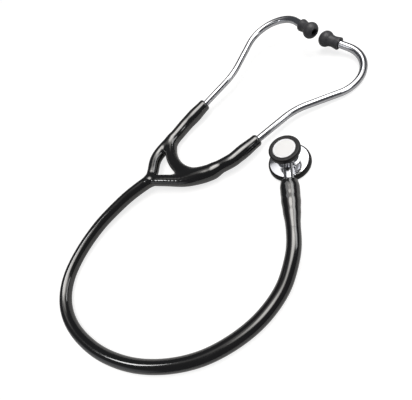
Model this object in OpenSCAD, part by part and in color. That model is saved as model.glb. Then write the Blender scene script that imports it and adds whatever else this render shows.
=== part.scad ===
// Dual-head infant stethoscope, lying on a table.
// Millimetres, +Z up. The origin is the centre of the large head's contact face, on the table,
// and +X points from the yoke towards the ear tips.

/* [Hose] */
// Outer diameter of the hose
hose_d = 10.7; // [8:0.1:12]
// Outer diameter of the hose where it leaves the yoke
hose_root_d = 12.6; // [10:0.2:13.6]
// Length over which the hose thins from the yoke's end
hose_taper = 180; // [80:10:240]
// Outer diameter of the cuff that grips the stem
cuff_d = 15.1; // [13:0.1:17]
// Length of the cuff
cuff_len = 40; // [34:1:44]
// Length of the cuff's full-diameter stretch
cuff_grip = 16; // [12:1:22]

/* [Headset moulding] */
// Diameter of a limb where it leaves the yoke
neck_d = 11.4; // [9:0.2:12.6]
// Diameter of a limb where it meets its socket
limb_d = 13.4; // [12:0.2:14.4]
// Diameter of the U-shaped spring sleeve
sleeve_d = 12; // [9:0.2:12.6]
// Depth of the sleeve's arc behind the line between the limbs
sleeve_sag = 17.5; // [13:0.5:19]
// Diameter of the socket near its back
socket_d = 13.8; // [12.6:0.2:14.8]
// Diameter of the socket's mouth
mouth_d = 12; // [10.6:0.2:12.8]
// Length of the socket
socket_len = 26; // [22:1:28]
// Length over which a socket swells from its limb
swell = 8; // [5:0.5:11]
// Radius of the rounded edges of the moulding's open ends
lip_r = 1.4; // [0.6:0.2:1.8]
// Thickness of the leaf spring's strip
spring_t = 0.8; // [0.5:0.1:1.2]
// Width of the leaf spring's strip
spring_w = 7; // [5:0.5:8]

/* [Ear tubes] */
// Outer diameter of an ear tube
tube_d = 6.3; // [5.5:0.1:7]
// Sound bore of an ear tube
tube_bore_d = 4.6; // [3.6:0.1:4.8]
// Length of the ear tube held in its socket
tube_grip = 20; // [14:1:21]
// Straight length from the socket's mouth to the outward kink
tube_run = 29.4; // [25:0.1:36]
// Angle of the outward kink
kink_angle = 23.9; // [15:0.1:30]
// Centre-line radius of the kink
kink_r = 52; // [30:1:70]
// Straight length between the kink and the ear bend
tube_rise = 28.4; // [22:0.1:34]
// Angle of the ear bend
ear_bend = 122.8; // [116:0.1:130]
// Centre-line radius of the ear bend
ear_r = 28.1; // [26:0.1:31]
// Straight length from the ear bend to the ear tip's skirt
ear_run = 9.9; // [5:0.1:12]

/* [Ear tips] */
// Diameter of the ball that seals the ear
ball_d = 13.6; // [12:0.2:14.4]
// Length of an ear tip
tip_len = 21.5; // [19:0.5:24]
// Wall of the ear tip round the ear tube, at the waist behind the ball
tip_wall = 1.45; // [1.2:0.05:1.8]
// Diameter of the skirt's edge
skirt_d = 10.4; // [9.8:0.2:12]
// Diameter of the sound hole in the ball
tip_hole_d = 5.4; // [3:0.2:5.8]
// Length of the nut on the ear tube's end
nut_len = 7; // [5:0.5:8]
// Wall of the nut round the ear tube
nut_wall = 0.55; // [0.4:0.05:0.7]

/* [Chest piece] */
// Outer diameter of the large rim
large_d = 34.8; // [32:0.2:40]
// Outer diameter of the small rim
small_d = 24.7; // [22:0.1:28]
// Height from the large contact face to the top of the small rim
head_h = 24; // [22:0.5:27]
// Height of the stem's axis over the large contact face
stem_z = 11.8; // [11:0.1:12.6]
// Diameter of the head's waist
waist_d = 11; // [10:0.2:13]
// Height of the small rim
rim_h = 5; // [4.4:0.2:5.6]
// Height of the large rim
large_rim_h = 6; // [5.2:0.2:6.4]
// Radial width of a rim's lip over its diaphragm
lip_w = 3.6; // [2.4:0.1:4]
// Thickness of a rim's wall round its flange
rim_wall = 1.2; // [0.8:0.1:1.6]
// Thickness of a rim's two lips
rim_lip = 0.9; // [0.6:0.1:1.2]
// Thickness of a diaphragm
skin_t = 0.6; // [0.4:0.1:0.8]
// Height of the small diaphragm's face over its seat
face_step = 0.7; // [0.5:0.1:0.9]
// Depth of a rim's snap over the back of its flange
snap = 0.6; // [0.4:0.1:1]
// Slope of the large side's cone, in degrees
cone_slope = 20; // [14:1:24]
// Depth of the shallow bowl behind each diaphragm
bowl_depth = 1.6; // [1:0.1:2]

/* [Stem] */
// Diameter of the stem between the head and the cuff
stem_d = 7.9; // [7:0.1:8.4]
// Diameter of the journal that turns in the head
journal_d = 6; // [5.6:0.1:6.4]
// Diameter of the sound passage
sound_d = 3; // [2.4:0.1:3.2]
// Distance from the head's axis to the cuff's front edge
stem_reach = 23; // [21:0.5:26]
// Length of the barbed nipple inside the cuff
nipple_len = 24; // [18:1:27]
// Diameter of the nipple
nipple_d = 6.8; // [6:0.1:7.2]
// Height of the nipple's barbs
barb_h = 0.3; // [0.1:0.05:0.5]
// Diameter of the hub that carries the journal
hub_d = 10.6; // [9.8:0.2:11.4]
// Distance from the head's axis to each end of the hub
hub_half = 7.8; // [7.4:0.1:8.6]
// Diameter of the detent ball
detent_d = 2; // [1.6:0.1:2.2]

/* [Fits] */
// Radial clearance of a running fit
run_gap = 0.05; // [0.02:0.01:0.1]
// Clearance of a pushed fit
push_gap = 0.02; // [0.01:0.01:0.05]
// Gap between soft faces that meet across a joint
soft_gap = 0.3; // [0.1:0.1:0.5]

/* [Hidden] */
$fn = 64;

// Finishes
soft_grey = "#3d3d40";
chrome = "#d9dadd";
black_vinyl = "#151515";
spring_steel = "#8f9296";
white_film = "#f4f3f0";
clear_film = "#d5d6d2";

// How each socket lies: the centre of its mouth, then its twist, slope and heading in degrees
left_mouth = [-9.4, 118.7, 11];
left_turn = [-2, -5.8, -0.4];
right_mouth = [-3.3, 36.3, 8.8];
right_turn = [8.4, 1.8, -1.6];

// Heading of the stem from the head's axis
stem_yaw = 232.7;

// Centre lines of the soft moulding, as it lies on the table
yoke_back = [-104.5, 88.7, 10.4];
yoke_way = [0.97, -0.24, 0.04];
left_join = [-60, 114.8, 8.2];
right_join = [-54.2, 45.2, 8];
left_limb_route = [[-97.1, 96, 10.3], [-88.4, 106.5, 9.8], [-82.3, 110.5, 9.2], [-72, 113.3, 8.6],
                   left_join, [-48, 116.8, 8.2]];
right_limb_route = [[-98.5, 81.7, 10.2], [-89.8, 72, 9.6], [-84.9, 66.4, 9.1], [-73.3, 55, 8.4],
                    [-64.1, 49.7, 8.1], right_join, [-42.5, 41.3, 8.7]];
hose_route = [[-113, 90.6, 10.1], [-123, 92.4, 9.8], [-136, 94, 9.2], [-154, 94.2, 8.4],
              [-172, 93.1, 7.6], [-188, 89.7, 7], [-203, 84.7, 6.4], [-216.8, 77.7, 6],
              [-227.8, 69.5, 5.7], [-235.7, 59.6, 5.5], [-240.8, 46.8, 5.4],
              [-241.6, 29.8, 5.4], [-238.2, 14.2, 5.4], [-231.5, -1.8, 5.4], [-222.1, -17.9, 5.4],
              [-210.1, -33, 5.4], [-195.7, -47, 5.4], [-178.2, -59.7, 5.4], [-160.2, -69.4, 5.4],
              [-142.2, -76.1, 5.4], [-124.1, -79.8, 5.4], [-107.1, -81.1, 5.4], [-94.1, -80.4, 5.4],
              [-81.4, -78, 5.5], [-68.8, -73.9, 6.7], [-57.7, -67.9, 8.8], [-47.2, -60.3, 10.9]];

// Sides and steps of the swept tubes
hose_sides = 12;
limb_sides = 16;
route_steps = 4;
sleeve_rings = 20;
disc_t = 0.4;
web = 0.05;
arc_steps = 10;

// Ear tubes and ear tips; a tube loses draw_step of its radius at each bend
draw_step = 0.03;
draw_seat = 0.5;
tube_r = tube_d/2;
tip_waist_d = tube_d + 2*tip_wall;
nut_d = tube_d + 2*nut_wall;
nut_back = 1.2;
nut_ridge = 0.3;
nut_ridge_len = 1.2;
waist_share = 0.44;
skirt_edge = 0.6;
back_angle = -38;
tube_end = nut_back + nut_len;
// Bend table of an ear tube: straight length, bend angle, bend radius
bends = [[tube_grip + tube_run, kink_angle, kink_r],
         [tube_rise, -ear_bend, ear_r],
         [ear_run + tube_end, 0, 0]];

// Chest piece, from the large face up
large_r = large_d/2;
small_r = small_d/2;
small_top = head_h;
large_flange_r = large_r - rim_wall;
small_flange_r = small_r - rim_wall;
large_face_r = large_r - lip_w;
small_face_r = small_r - lip_w;
face_gap = 0.15;
skin_gap = 0.2;
skin_wall = 0.5;
bowl_land = 0.6;
skim = 0.001;
rim_edge = 1.3;
large_crown = [1.6, 3.8];
small_crown = [1.3, 1.3];
lip_low = 0.2;
skin_seat = lip_low + rim_lip;
flange_low = skin_seat + skin_t;
flange_high = lip_low + large_rim_h - rim_lip;
small_rim_low = small_top - rim_h;
small_flange_low = small_rim_low + rim_lip;
small_flange_high = small_top - rim_lip - skin_t;
waist_r = waist_d/2;
large_cone_r = large_flange_r - snap - push_gap;
small_cone_r = small_flange_r - snap - push_gap;
waist_bend = (stem_z - flange_high - tan(cone_slope)*(large_cone_r - waist_r))
             /(1/cos(cone_slope) - tan(cone_slope));

// Stem, measured along its own axis from the head's axis
journal_r = journal_d/2;
bore_r = journal_r + run_gap;
collar_gap = 0.3;
collar_s = hub_half + collar_gap;
clip_t = 0.6;
clip_in = 1.4;
clip_sink = 0.7;
clip_stand = 0.8;
clip_play = 0.2;
clip_s = clip_in - hub_half;
clip_groove_r = journal_r - clip_sink;
clip_out_r = journal_r + clip_stand;
clip_pocket_s = clip_s + clip_t + clip_play;
stem_tail = 0.8;
stem_back_s = clip_s - stem_tail;
seal_r = 0.45;
seal_in = 2.6;
seal_s = hub_half - seal_in;
seal_groove = 2*seal_r + push_gap;
detent_r = detent_d/2;
detent_s = -3.4;
detent_sink = 0.25;
detent_out = journal_r - detent_sink;
detent_back = -1.7;
track_gap = 0.1;
coil_turns = 5;
coil_wire_r = 0.13;
coil_rings = 10;
coil_sides = 6;
nipple_end = stem_reach + nipple_len;
cuff_end = stem_reach + cuff_len;
barb_count = 4;
barb_place = 0.75;
barb_share = 0.5;
stem_edge = 0.3;
nipple_edge = 0.5;
cuff_face_gap = 0.2;
cuff_lip_in = 0.4;

// Unit vector along v
function unit(v) = v/norm(v);

// Unit vector of a heading and a slope, both in degrees; the slope is positive downwards
function aim(turn) = [cos(turn[1])*cos(turn[2]), cos(turn[1])*sin(turn[2]), -sin(turn[1])];

// Point at parameter t between b and c on a Catmull-Rom curve through a, b, c and d
function spline(a, b, c, d, t) =
    b + (c - a)*t/2 + (2*a - 5*b + 4*c - d)*t*t/2 + (3*b - a - 3*c + d)*t*t*t/2;

// Route with n steps between each two of its points
function smooth_route(p, n) =
    let(last = len(p) - 1)
    [for (i = [0 : last - 1], k = [0 : n - 1])
        spline(p[max(i - 1, 0)], p[i], p[i + 1], p[min(i + 2, last)], k/n), p[last]];

// Direction of a route at point i, with set directions at its ends
function heading(p, i, first, final) =
    i == 0 ? first : i == len(p) - 1 ? final : unit(p[i + 1] - p[i - 1]);

// Length of a route up to point i
function run_to(p, i) = i == 0 ? 0 : run_to(p, i - 1) + norm(p[i] - p[i - 1]);

// Smooth rise from 0 to 1
function ease(t) = (1 - cos(180*min(max(t, 0), 1)))/2;

// Points of an arc about c
function arc(c, r, from, to, n = arc_steps) =
    [for (i = [0 : n]) c + r*[cos(from + (to - from)*i/n), sin(from + (to - from)*i/n)]];

// Centre and radius of the arc that passes behind the chord from a to b
function arc_r(a, b, sag) = (pow(norm(b - a)/2, 2) + sag*sag)/(2*sag);
function arc_mid(a, b, sag) =
    let(chord = unit(b - a))
    (a + b)/2 + (arc_r(a, b, sag) - sag)*[-chord[1], chord[0]];

// Round tube along points p with radius r[i] at each; its ends are square to the given directions
module sweep(p, r, sides, first, final) {
    rings = [for (i = [0 : len(p) - 1])
        let(t = heading(p, i, first, final), side = unit(cross([0, 0, 1], t)), up = cross(t, side))
        for (k = [0 : sides - 1]) p[i] + r[i]*(cos(360*k/sides)*side + sin(360*k/sides)*up)];
    walls = [for (i = [0 : len(p) - 2], k = [0 : sides - 1])
        let(a = i*sides + k, b = i*sides + (k + 1)%sides)
        each [[a, a + sides, b + sides], [a, b + sides, b]]];
    back = [for (k = [1 : sides - 2]) [0, k, k + 1]];
    front = [for (k = [1 : sides - 2]) (len(p) - 1)*sides*[1, 1, 1] + [0, k + 1, k]];
    polyhedron(rings, concat(walls, back, front));
}

// Thin disc square to the unit vector d, for lofted joints
module disc(p, d, r) {
    translate(p)
        rotate([0, acos(d[2]), atan2(d[1], d[0])])
            cylinder(r = r, h = disc_t, center = true, $fn = 2*limb_sides);
}

// Frames of the left and right ear tubes: +X runs out of the socket's mouth
module at_left_mouth() {
    translate(left_mouth) rotate(left_turn) children();
}
module at_right_mouth() {
    translate(right_mouth) rotate(right_turn) mirror([0, 1, 0]) children();
}

// Frame of the stem: +Z runs from the head's axis to the hose, and +X points down
module at_stem() {
    translate([0, 0, stem_z]) rotate([0, 90, stem_yaw]) children();
}

// Ring-shaped section of an ear tube after i bends
module tube_section(i) {
    difference() {
        circle(tube_r - i*draw_step);
        circle(tube_bore_d/2 - i*draw_step);
    }
}

// Tube along +X that follows a bend table, from row i on; each bend draws it a hair thinner
module bent_tube(table, i = 0) {
    run = table[i][0];
    turn = table[i][1];
    bend_r = table[i][2];
    seat = i > 0 ? draw_seat : 0;
    translate([-seat, 0, 0]) rotate([0, 90, 0]) linear_extrude(run + seat) tube_section(i);
    if (turn != 0)
        translate([run, 0, 0]) mirror([0, turn < 0 ? 1 : 0, 0]) {
            translate([0, bend_r, 0])
                rotate([0, 0, -90])
                    rotate_extrude(angle = abs(turn)) translate([bend_r, 0]) tube_section(i);
            translate([bend_r*sin(abs(turn)), bend_r*(1 - cos(turn)), 0])
                rotate([0, 0, abs(turn)])
                    mirror([0, turn < 0 ? 1 : 0, 0])
                        bent_tube(table, i + 1);
        }
}

// Frame at the far end of the bend table, where the ear tip's skirt begins
module at_tube_end(i = 0) {
    run = bends[i][0];
    turn = bends[i][1];
    bend_r = bends[i][2];
    if (turn == 0)
        translate([run - tube_end, 0, 0]) children();
    else
        translate([run, 0, 0]) mirror([0, turn < 0 ? 1 : 0, 0])
            translate([bend_r*sin(abs(turn)), bend_r*(1 - cos(turn)), 0])
                rotate([0, 0, abs(turn)])
                    mirror([0, turn < 0 ? 1 : 0, 0])
                        at_tube_end(i + 1) children();
}

// Ear tube, from its end in the socket to its end in the ear tip
module ear_tube() {
    color(chrome) translate([-tube_grip, 0, 0]) bent_tube(bends);
}

// Nut on the ear tube's end, with the ridge that the ear tip snaps over
module ear_nut() {
    in_r = tube_r + push_gap;
    out_r = nut_d/2;
    ridge = nut_back + nut_len - 2*nut_ridge_len;
    color(chrome)
        at_ear()
            rotate_extrude()
                polygon([[in_r, nut_back], [out_r, nut_back], [out_r, ridge],
                         [out_r + nut_ridge, ridge + nut_ridge_len/3],
                         [out_r + nut_ridge, ridge + 2*nut_ridge_len/3],
                         [out_r, ridge + nut_ridge_len], [out_r, tube_end], [in_r, tube_end]]);
}

// Frame of an ear tip: +Z from the skirt to the ball
module at_ear() {
    translate([-tube_grip, 0, 0]) at_tube_end() rotate([0, 90, 0]) children();
}

// Ear tip: skirt, waist and ball, with its seat for the nut and its sound hole
module ear_tip() {
    seat_r = nut_d/2 + push_gap;
    ridge = nut_back + nut_len - 2*nut_ridge_len;
    ball_r = ball_d/2;
    ball_z = tip_len - ball_r;
    waist_z = waist_share*ball_z;
    hole_angle = acos(tip_hole_d/2/ball_r);
    ball_back = [ball_r*cos(back_angle), ball_z + ball_r*sin(back_angle)];
    color(soft_grey)
        at_ear()
            difference() {
                rotate_extrude()
                    polygon(concat(
                        [[0, 0]],
                        arc([skirt_d/2 - skirt_edge, skirt_edge], skirt_edge, -90, 0, 4),
                        [for (i = [1 : arc_steps])
                            let(t = i/arc_steps)
                            [skirt_d/2 + (tip_waist_d - skirt_d)/2*ease(t),
                             skirt_edge + (waist_z - skirt_edge)*t]],
                        [for (i = [1 : arc_steps])
                            let(t = i/arc_steps)
                            [tip_waist_d/2 + (ball_back[0] - tip_waist_d/2)*t*t,
                             waist_z + (ball_back[1] - waist_z)*t]],
                        arc([0, ball_z], ball_r, back_angle, hole_angle, 2*arc_steps),
                        [[0, ball_z + ball_r*sin(hole_angle)]]));
                translate([0, 0, -1]) cylinder(r = seat_r, h = tube_end + 1 + push_gap);
                translate([0, 0, ridge - push_gap])
                    cylinder(r = seat_r + nut_ridge, h = nut_ridge_len + 2*push_gap);
                cylinder(r = tip_hole_d/2, h = tip_len + 1);
            }
}

// Socket: the swollen end of a limb, with the bore that the ear tube turns in
module socket() {
    back_r = limb_d/2;
    full_r = socket_d/2;
    mouth_r = mouth_d/2;
    color(black_vinyl)
        rotate([0, 90, 0])
            difference() {
                rotate_extrude()
                    polygon(concat(
                        [[0, -socket_len], [back_r, -socket_len]],
                        [for (i = [1 : arc_steps])
                            let(t = i/arc_steps)
                            [back_r + (full_r - back_r)*ease(t), -socket_len + swell*t]],
                        [for (i = [1 : arc_steps])
                            let(t = i/arc_steps)
                            [full_r + (mouth_r - full_r)*ease(t),
                             -(socket_len - swell) + (socket_len - swell - lip_r)*t]],
                        arc([mouth_r - lip_r, -lip_r], lip_r, 0, 90, 6),
                        [[0, 0]]));
                translate([0, 0, -tube_grip - soft_gap])
                    cylinder(r = tube_r + run_gap, h = tube_grip + soft_gap + 1);
                translate([0, 0, -socket_len - 1])
                    cylinder(r = tube_bore_d/2, h = socket_len);
            }
}

// Limb of the yoke: a swept tube from its neck to the back of its socket
module limb(route, mouth, turn) {
    out = aim(turn);
    back = mouth - (socket_len + soft_gap)*out;
    path = smooth_route(concat(route, [back]), route_steps);
    total = run_to(path, len(path) - 1);
    radii = [for (i = [0 : len(path) - 1])
        neck_d/2 + (limb_d - neck_d)/2*ease(run_to(path, i)/total)];
    sweep(path, radii, limb_sides, unit(route[1] - route[0]), out);
}

// Arc of the spring sleeve between the two limbs
sleeve_z = (left_join[2] + right_join[2])/2;
join_a = [left_join[0], left_join[1]];
join_b = [right_join[0], right_join[1]];
sleeve_r = arc_r(join_a, join_b, sleeve_sag);
sleeve_mid = arc_mid(join_a, join_b, sleeve_sag);
sleeve_from = atan2(join_a[1] - sleeve_mid[1], join_a[0] - sleeve_mid[0]);
sleeve_to = atan2(join_b[1] - sleeve_mid[1], join_b[0] - sleeve_mid[0]) + 360;

// Strip along the sleeve's arc, grown by g on every side
module spring_strip(g = 0) {
    spare = 2;
    margin = (spare - g)/sleeve_r*180/PI;
    translate([sleeve_mid[0], sleeve_mid[1], sleeve_z])
        rotate([0, 0, sleeve_from + margin])
            rotate_extrude(angle = sleeve_to - sleeve_from - 2*margin, $fn = 128)
                translate([sleeve_r - spring_t/2 - g, -spring_w/2 - g])
                    square([spring_t + 2*g, spring_w + 2*g]);
}

// Moulded yoke: junction, both limbs and the spring sleeve, with the pocket for the leaf spring
module yoke() {
    sweep_on = [for (i = [0 : sleeve_rings]) sleeve_from + (sleeve_to - sleeve_from)*i/sleeve_rings];
    sleeve_path = [for (a = sweep_on)
        [sleeve_mid[0] + sleeve_r*cos(a), sleeve_mid[1] + sleeve_r*sin(a), sleeve_z]];
    root_way = unit(yoke_way);
    color(black_vinyl)
        difference() {
            union() {
                for (route = [left_limb_route, right_limb_route])
                    hull() {
                        disc(yoke_back + disc_t/2*root_way, root_way, hose_root_d/2);
                        disc(route[0], unit(route[1] - route[0]), neck_d/2 + web);
                    }
                limb(left_limb_route, left_mouth, left_turn);
                limb(right_limb_route, right_mouth, right_turn);
                sweep(sleeve_path, [for (a = sweep_on) sleeve_d/2], limb_sides,
                      [-sin(sleeve_from), cos(sleeve_from), 0], [-sin(sleeve_to), cos(sleeve_to), 0]);
            }
            spring_strip(push_gap);
        }
}

// Leaf spring that presses the ear tips to the ears
module leaf_spring() {
    color(spring_steel) spring_strip();
}

// Hose: one tube from the yoke to the cuff, thinner after the taper
module hose() {
    stem_way = [cos(stem_yaw), sin(stem_yaw), 0];
    path = concat([yoke_back], hose_route, [cuff_end*stem_way + [0, 0, stem_z]]);
    radii = [for (i = [0 : len(path) - 1])
        hose_root_d/2 + (hose_d - hose_root_d)/2*min(run_to(path, i)/hose_taper, 1)];
    color(black_vinyl) sweep(path, radii, hose_sides, -unit(yoke_way), -stem_way);
}

// Cuff: the hose's swollen end, gripping the stem's nipple
module hose_cuff() {
    full_r = cuff_d/2;
    thin = cuff_len - cuff_grip;
    color(black_vinyl)
        at_stem()
            translate([0, 0, stem_reach])
                difference() {
                    rotate_extrude()
                        polygon(concat(
                            [[0, 0]],
                            arc([full_r - lip_r - cuff_lip_in, lip_r], lip_r, -90, 0, 6),
                            [[full_r, 3*lip_r]],
                            [for (i = [0 : arc_steps])
                                let(t = i/arc_steps)
                                [full_r + (hose_d/2 - full_r)*ease(t), cuff_grip + thin*t]],
                            [[0, cuff_len]]));
                    translate([0, 0, -1])
                        cylinder(r = nipple_d/2 + push_gap, h = nipple_len + 1 + push_gap);
                    for (i = [0 : barb_count - 1])
                        barb(i, push_gap);
                    translate([0, 0, nipple_len - 1])
                        cylinder(r = sound_d/2, h = cuff_len - nipple_len + 2);
                }
}

// One barb of the nipple, measured from the cuff's front edge and grown by g
module barb(i, g = 0) {
    step = nipple_len/(barb_count + 1);
    translate([0, 0, step*(i + barb_place)])
        cylinder(r1 = nipple_d/2 + barb_h + g, r2 = nipple_d/2 + g, h = step*barb_share);
}

// Stem: journal, collar, barrel and barbed nipple on one axis, with the sound passage and its side port
module stem() {
    barrel_r = stem_d/2;
    barrel_end = stem_reach - cuff_face_gap;
    color(chrome)
        at_stem()
            difference() {
                union() {
                    rotate_extrude()
                        polygon([[0, stem_back_s], [journal_r - stem_edge, stem_back_s],
                                 [journal_r, stem_back_s + stem_edge], [journal_r, clip_s],
                                 [clip_groove_r, clip_s], [clip_groove_r, clip_s + clip_t],
                                 [journal_r, clip_s + clip_t], [journal_r, collar_s],
                                 [barrel_r - stem_edge, collar_s], [barrel_r, collar_s + stem_edge],
                                 [barrel_r, barrel_end - stem_edge], [barrel_r - stem_edge, barrel_end],
                                 [nipple_d/2, barrel_end], [nipple_d/2, nipple_end - nipple_edge],
                                 [nipple_d/2 - nipple_edge, nipple_end], [0, nipple_end]]);
                    translate([0, 0, stem_reach])
                        for (i = [0 : barb_count - 1])
                            barb(i);
                }
                cylinder(r = sound_d/2, h = nipple_end + 1);
                sphere(r = sound_d/2);
                rotate([0, 90, 0]) cylinder(r = sound_d/2, h = journal_r + 1);
                translate([0, 0, seal_s])
                    rotate_extrude()
                        translate([journal_r - seal_groove, -seal_r - push_gap])
                            square([seal_groove + 1, 2*(seal_r + push_gap)]);
                translate([0, detent_back, detent_s])
                    rotate([-90, 0, 0]) cylinder(r = detent_r + push_gap, h = journal_r - detent_back + 1);
            }
}

// Seal ring in the journal's groove
module stem_seal() {
    color(black_vinyl)
        at_stem()
            translate([0, 0, seal_s])
                rotate_extrude() translate([journal_r - seal_r, 0]) circle(seal_r, $fn = 24);
}

// Retaining ring in the journal's end groove, open on one side
module stem_clip() {
    mouth = 2.6;
    color(spring_steel)
        at_stem()
            translate([0, 0, clip_s + push_gap])
                difference() {
                    cylinder(r = clip_out_r, h = clip_t - 2*push_gap);
                    translate([0, 0, -1]) cylinder(r = clip_groove_r + push_gap, h = clip_t + 2);
                    translate([0, -mouth/2, -1]) cube([clip_out_r + 1, mouth, clip_t + 2]);
                }
}

// Detent ball in the journal's side hole, riding in the hub's track
module detent_ball() {
    color(spring_steel) at_stem() translate([0, detent_out, detent_s]) sphere(r = detent_r);
}

// Coil spring behind the detent ball
module detent_spring() {
    length = detent_out - detent_r - detent_back - 2*coil_wire_r - 2*push_gap;
    coil_r = detent_r - coil_wire_r - push_gap;
    count = coil_turns*coil_rings;
    path = [for (i = [0 : count])
        let(a = 360*i/coil_rings)
        [coil_r*cos(a), coil_r*sin(a), coil_wire_r + push_gap + length*i/count]];
    first = unit(path[1] - path[0]);
    final = unit(path[count] - path[count - 1]);
    color(spring_steel)
        at_stem()
            translate([0, detent_back, detent_s])
                rotate([-90, 0, 0])
                    sweep(path, [for (p = path) coil_wire_r], coil_sides, first, final);
}

// Head: two shallow bowls back to back on a waisted body, with the hub across it
module head_body() {
    bend_c = [waist_r + waist_bend, stem_z];
    small_side = small_flange_low - stem_z;
    large_bowl_r = large_face_r - bowl_land;
    small_bowl_r = small_face_r - bowl_land;
    bowl_low = small_flange_high - bowl_depth;
    color(chrome)
        difference() {
            union() {
                rotate_extrude()
                    polygon(concat(
                        [[0, flange_low], [large_flange_r - push_gap, flange_low],
                         [large_flange_r - push_gap, flange_high - push_gap],
                         [large_cone_r, flange_high - push_gap]],
                        [for (p = arc(bend_c, waist_bend, 270 - cone_slope, 180)) p],
                        [for (i = [1 : arc_steps])
                            let(a = 90*i/arc_steps)
                            [waist_r + (small_cone_r - waist_r)*(1 - cos(a)), stem_z + small_side*sin(a)]],
                        [[small_flange_r - push_gap, small_flange_low + push_gap],
                         [small_flange_r - push_gap, small_flange_high], [0, small_flange_high]]));
                at_stem() translate([0, 0, -hub_half]) cylinder(r = hub_d/2, h = 2*hub_half);
            }
            translate([0, 0, flange_low - skim])
                cylinder(r1 = large_bowl_r, r2 = sound_d/2, h = bowl_depth);
            translate([0, 0, bowl_low + skim])
                cylinder(r1 = sound_d/2, r2 = small_bowl_r, h = bowl_depth);
            translate([0, 0, flange_low]) cylinder(r = sound_d/2, h = small_flange_high - flange_low);
            at_stem() {
                translate([0, 0, -hub_half - 1]) cylinder(r = bore_r, h = 2*hub_half + 2);
                translate([0, 0, -hub_half - 1])
                    cylinder(r = clip_out_r + run_gap, h = clip_pocket_s + hub_half + 1);
                translate([0, 0, detent_s])
                    rotate_extrude() translate([detent_out, 0]) circle(detent_r + track_gap, $fn = 32);
            }
        }
}

// Rim: a soft channel that snaps over a flange and holds its diaphragm; drawn face down from z = 0.
// The crown is the width and height of its rounded back edge
module rim(r, face_r, flange_r, h, crown) {
    top_lip_r = flange_r - snap;
    rotate_extrude()
        polygon(concat(
            [[face_r + face_gap, 0]],
            arc([r - rim_edge, rim_edge], rim_edge, -90, 0, 6),
            [for (i = [0 : arc_steps])
                let(a = 90*i/arc_steps)
                [r - crown[0]*(1 - cos(a)), h - crown[1]*(1 - sin(a))]],
            [[top_lip_r, h], [top_lip_r, h - rim_lip], [flange_r, h - rim_lip],
             [flange_r, rim_lip], [face_r + face_gap, rim_lip]]));
}

// Diaphragm: a thin disc with a flange under the rim's lip; drawn face down with its seat at z = 0
module diaphragm(face_r, flange_r, step) {
    rotate_extrude()
        polygon([[0, -step], [face_r, -step], [face_r, 0], [flange_r - skin_gap, 0],
                 [flange_r - skin_gap, skin_t - push_gap], [face_r - skin_wall, skin_t - push_gap],
                 [face_r - skin_wall, skin_t - step], [0, skin_t - step]]);
}

module large_rim() {
    color(black_vinyl)
        translate([0, 0, lip_low])
            rim(large_r, large_face_r, large_flange_r, large_rim_h, large_crown);
}
module large_diaphragm() {
    color(clear_film) translate([0, 0, skin_seat]) diaphragm(large_face_r, large_flange_r, skin_seat);
}
module small_rim() {
    color(black_vinyl)
        translate([0, 0, small_top])
            mirror([0, 0, 1]) rim(small_r, small_face_r, small_flange_r, rim_h, small_crown);
}
module small_diaphragm() {
    color(white_film)
        translate([0, 0, small_top - rim_lip])
            mirror([0, 0, 1]) diaphragm(small_face_r, small_flange_r, face_step);
}

module left_ear_tip() { at_left_mouth() ear_tip(); }
module right_ear_tip() { at_right_mouth() ear_tip(); }
module left_nut() { at_left_mouth() ear_nut(); }
module right_nut() { at_right_mouth() ear_nut(); }
module left_ear_tube() { at_left_mouth() ear_tube(); }
module right_ear_tube() { at_right_mouth() ear_tube(); }
module left_socket() { at_left_mouth() socket(); }
module right_socket() { at_right_mouth() socket(); }

left_ear_tip();
right_ear_tip();
left_nut();
right_nut();
left_ear_tube();
right_ear_tube();
left_socket();
right_socket();
yoke();
leaf_spring();
hose();
hose_cuff();
stem();
stem_seal();
stem_clip();
detent_ball();
detent_spring();
head_body();
large_rim();
large_diaphragm();
small_rim();
small_diaphragm();
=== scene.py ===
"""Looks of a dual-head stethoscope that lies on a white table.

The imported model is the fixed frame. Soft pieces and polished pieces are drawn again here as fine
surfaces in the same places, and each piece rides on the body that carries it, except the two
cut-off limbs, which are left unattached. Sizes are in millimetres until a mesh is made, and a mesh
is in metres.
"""

from __future__ import annotations

import logging
import math
from collections.abc import Callable
from dataclasses import dataclass, field
from enum import Enum

import bmesh
import bpy
import numpy as np
from mathutils import Matrix, Vector

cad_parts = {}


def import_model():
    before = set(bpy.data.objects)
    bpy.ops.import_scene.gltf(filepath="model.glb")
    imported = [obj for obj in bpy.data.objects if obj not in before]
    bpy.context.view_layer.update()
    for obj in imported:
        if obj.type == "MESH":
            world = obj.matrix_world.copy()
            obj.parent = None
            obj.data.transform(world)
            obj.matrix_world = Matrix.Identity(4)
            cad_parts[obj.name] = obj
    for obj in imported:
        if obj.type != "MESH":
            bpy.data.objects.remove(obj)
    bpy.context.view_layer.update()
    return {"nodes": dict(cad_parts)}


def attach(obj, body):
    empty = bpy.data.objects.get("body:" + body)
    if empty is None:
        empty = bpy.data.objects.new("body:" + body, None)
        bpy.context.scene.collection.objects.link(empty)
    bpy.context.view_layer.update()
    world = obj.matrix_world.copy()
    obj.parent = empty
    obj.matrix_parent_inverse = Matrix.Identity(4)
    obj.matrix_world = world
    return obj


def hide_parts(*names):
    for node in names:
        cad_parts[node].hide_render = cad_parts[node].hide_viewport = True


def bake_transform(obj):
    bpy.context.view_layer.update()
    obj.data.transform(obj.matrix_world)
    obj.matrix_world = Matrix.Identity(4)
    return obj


LOG = logging.getLogger("stethoscope")
MM = 0.001
MERGE = 1e-7  # points nearer than this, in metres, become one
SLIVER = 1e-8  # edges shorter than this, in metres, are taken out
SPARE_SIDE = np.array([1e-9, 0, 0])  # decides the side axis where a route stands upright
SPARE_SLOPE = 1e-12  # decides the slope where a field is flat

Point = tuple[float, float, float]
Pair = tuple[float, float]
Field = Callable[[np.ndarray], np.ndarray]
Piece = bpy.types.Object
Tree = bpy.types.NodeTree
Node = bpy.types.Node
Output = bpy.types.NodeSocket


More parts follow.
